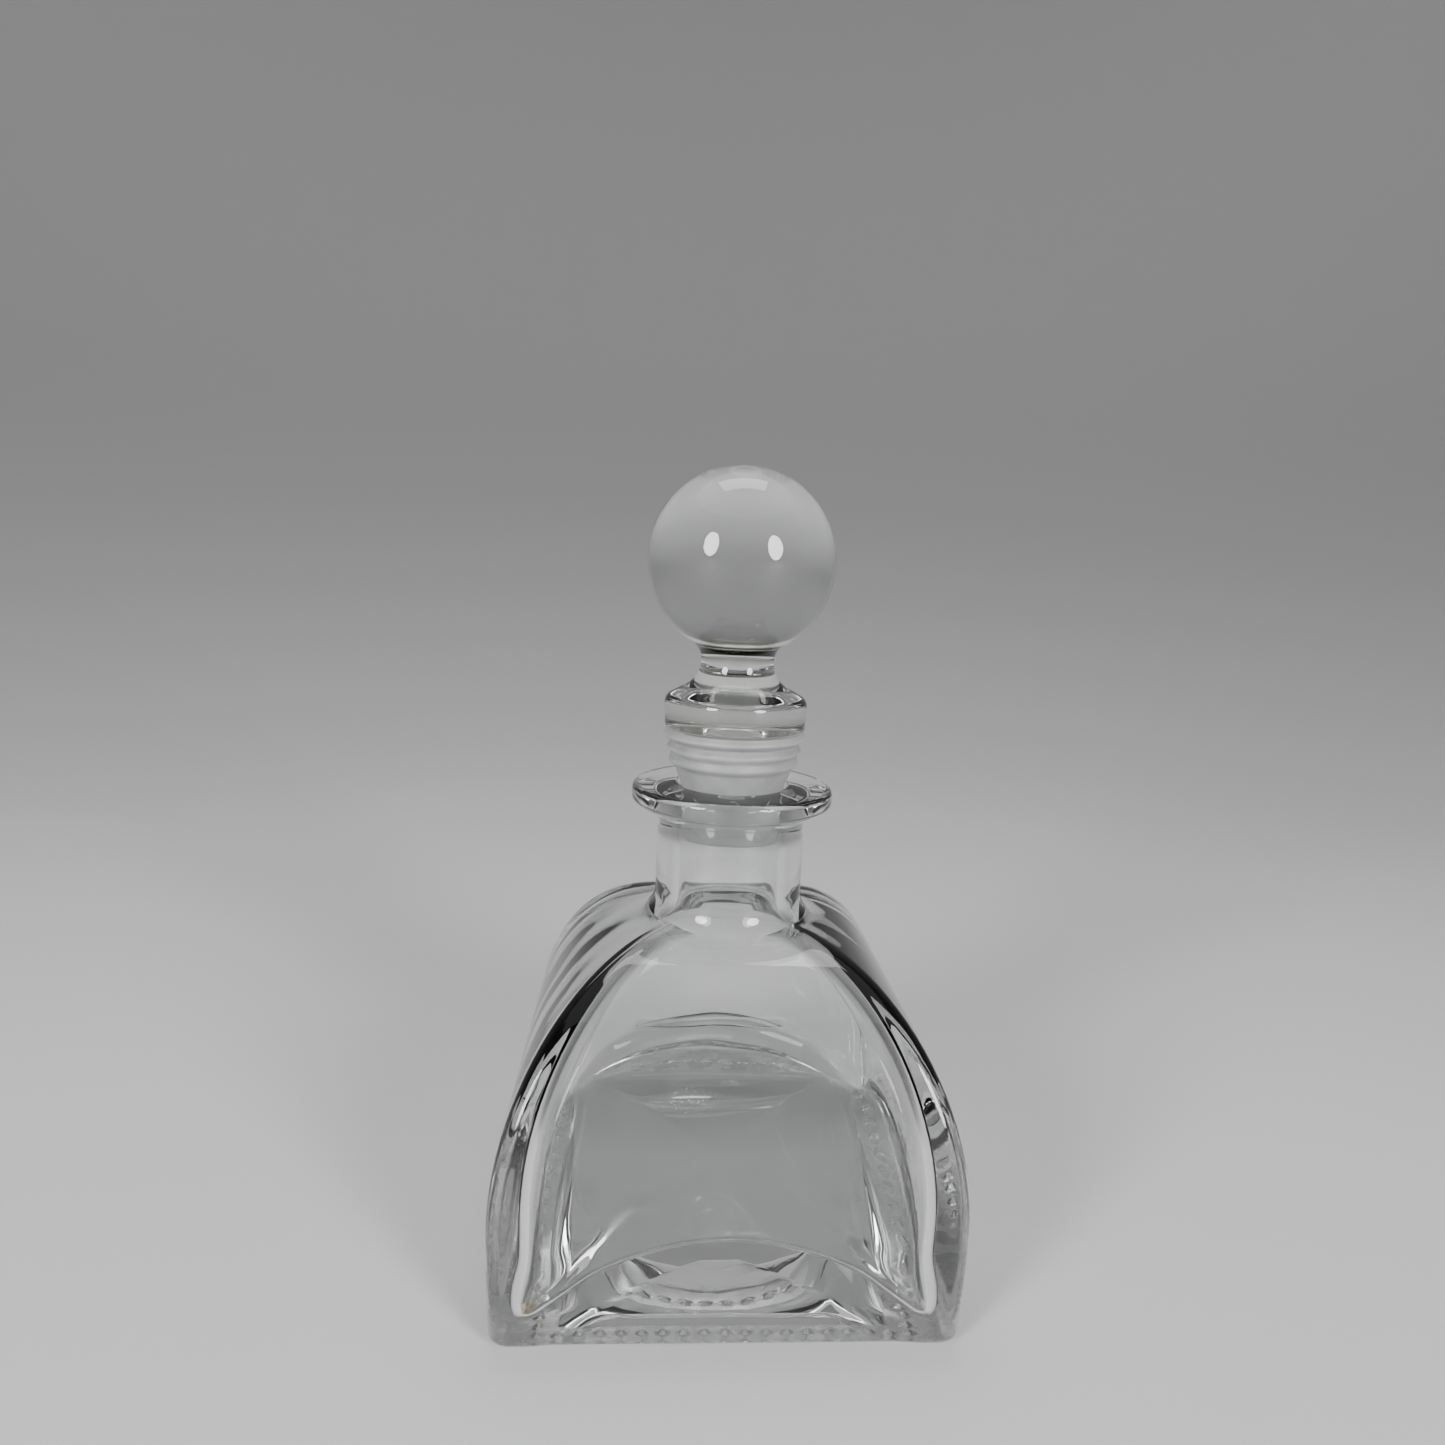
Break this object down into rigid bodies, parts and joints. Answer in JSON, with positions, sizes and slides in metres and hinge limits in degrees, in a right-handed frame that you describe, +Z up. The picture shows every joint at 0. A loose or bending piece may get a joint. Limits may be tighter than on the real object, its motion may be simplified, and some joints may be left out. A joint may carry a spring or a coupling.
{
  "type": "aftershave bottle",
  "caption": "Square clear glass decanter bottle with sloping shoulders, a flanged neck and a glass ball stopper in a finned plastic seal.",
  "frame": {"origin": "middle of the base, on the plane that the bottle stands on", "axes": "+Z up along the neck and the stopper, +X and +Y out through two neighbouring flat sides, -Y is the front"},
  "size_m": [0.0722, 0.0722, 0.1325],
  "materials": {
    "bottle_glass": "clear moulded glass",
    "seal_plastic": "milky translucent polyethylene",
    "stopper_glass": "clear solid glass"
  },
  "bodies": {
    "bottle": {"glass_bottle": "bottle_glass"},
    "seal": {"stopper_seal": "seal_plastic"},
    "stopper": {"ball_stopper": "stopper_glass"}
  },
  "joints": [
    {"name": "stopper_lift", "type": "slide", "parent": "bottle", "child": "seal", "axis": [0, 0, 1], "range_m": [0, 0.03]},
    {"name": "stopper_turn", "type": "hinge", "parent": "seal", "child": "stopper", "pos_m": [0, 0, 0.0888], "axis": [0, 0, 1], "continuous": true}
  ]
}
